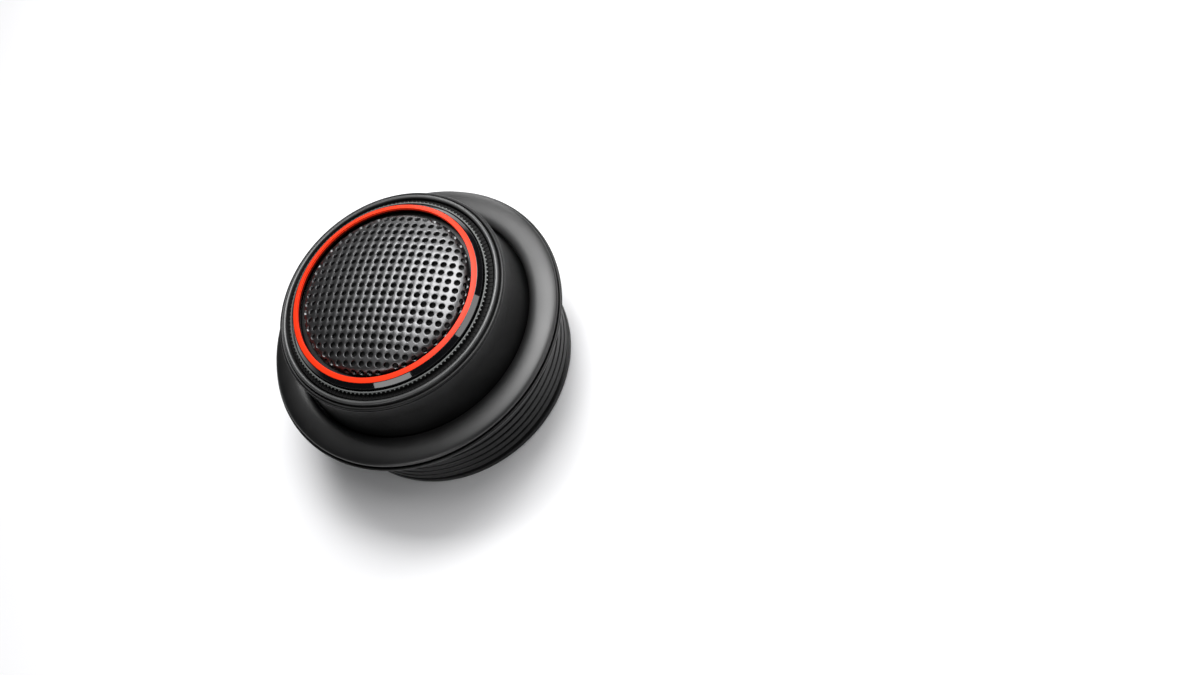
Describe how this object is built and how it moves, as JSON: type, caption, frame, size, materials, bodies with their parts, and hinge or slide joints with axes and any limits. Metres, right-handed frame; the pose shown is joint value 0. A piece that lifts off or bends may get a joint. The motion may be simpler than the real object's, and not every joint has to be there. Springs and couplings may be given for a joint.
{
  "type": "car tweeter",
  "caption": "Flush-mount car tweeter: a threaded cup with a round trim flange and a swivelling, tilting dome head behind a perforated grille with a bright accent ring.",
  "frame": {"origin": "centre of the rear face of the threaded cup, which is the middle of the bottom of the part's box", "axes": "+Z out of the front of the tweeter along its axis, which is the shortest side of the box; X is the head's tilt axis at rest and one line of the grille's hole grid; Y is the other"},
  "size_m": [0.054, 0.054, 0.0314],
  "materials": {
    "satin_black": "satin moulded",
    "moulded_black": "fine moulded",
    "knurl_black": "matt, knurled",
    "gloss_black": "polished",
    "accent_orange": "satin coloured plastic",
    "index_grey": "satin, toothed",
    "grille_gunmetal": "metallic coat on pressed steel",
    "scrim_cloth": "open woven cloth",
    "soft_rubber": "matt",
    "surround_cloth": "coated cloth",
    "dome_silk": "coated silk",
    "bright_steel": "bright spring steel",
    "plated_steel": "zinc plated",
    "magnet_nickel": "nickel plated",
    "felt_grey": "pressed felt",
    "board_brown": "phenolic board",
    "terminal_brass": "plain brass",
    "former_amber": "amber film",
    "coil_copper": "enamelled copper wire"
  },
  "bodies": {
    "cup": {"trim_flange": "satin_black", "threaded_base": "moulded_black", "collar": "satin_black", "retaining_ring": "satin_black", "friction_washer": "bright_steel", "rear_cover": "moulded_black", "rear_screw_1": "plated_steel", "rear_screw_2": "plated_steel", "rear_screw_3": "plated_steel", "cable_grommet": "soft_rubber"},
    "swivel": {"swivel_ring": "knurl_black", "index_ring": "index_grey", "pivot_pin_1": "bright_steel", "pivot_pin_2": "bright_steel"},
    "head": {"head_shell": "moulded_black", "gloss_bezel": "gloss_black", "accent_ring": "accent_orange", "grille": "grille_gunmetal", "dust_scrim": "scrim_cloth", "clamp_ring": "moulded_black", "faceplate": "moulded_black", "yoke_cup": "plated_steel", "magnet": "magnet_nickel", "pole_plate": "plated_steel", "damping_pad": "felt_grey", "rear_cap": "moulded_black", "terminal_board": "board_brown", "terminal_positive": "terminal_brass", "terminal_negative": "plated_steel", "board_screw_1": "plated_steel", "board_screw_2": "plated_steel", "surround": "surround_cloth"},
    "diaphragm": {"dome": "dome_silk", "voice_coil_former": "former_amber", "voice_coil": "coil_copper"}
  },
  "joints": [
    {"name": "swivel_spin", "type": "hinge", "parent": "cup", "child": "swivel", "pos_m": [0, 0, 0.026], "axis": [0, 0, 1], "continuous": true},
    {"name": "head_tilt", "type": "hinge", "parent": "swivel", "child": "head", "pos_m": [0, 0, 0.026], "axis": [1, 0, 0], "range_deg": [-15, 15]},
    {"name": "dome_travel", "type": "slide", "parent": "head", "child": "diaphragm", "axis": [0, 0, 1], "range_m": [-0.0004, 0.0004], "stiffness_N_per_m": 100, "deforming": ["surround"]}
  ]
}
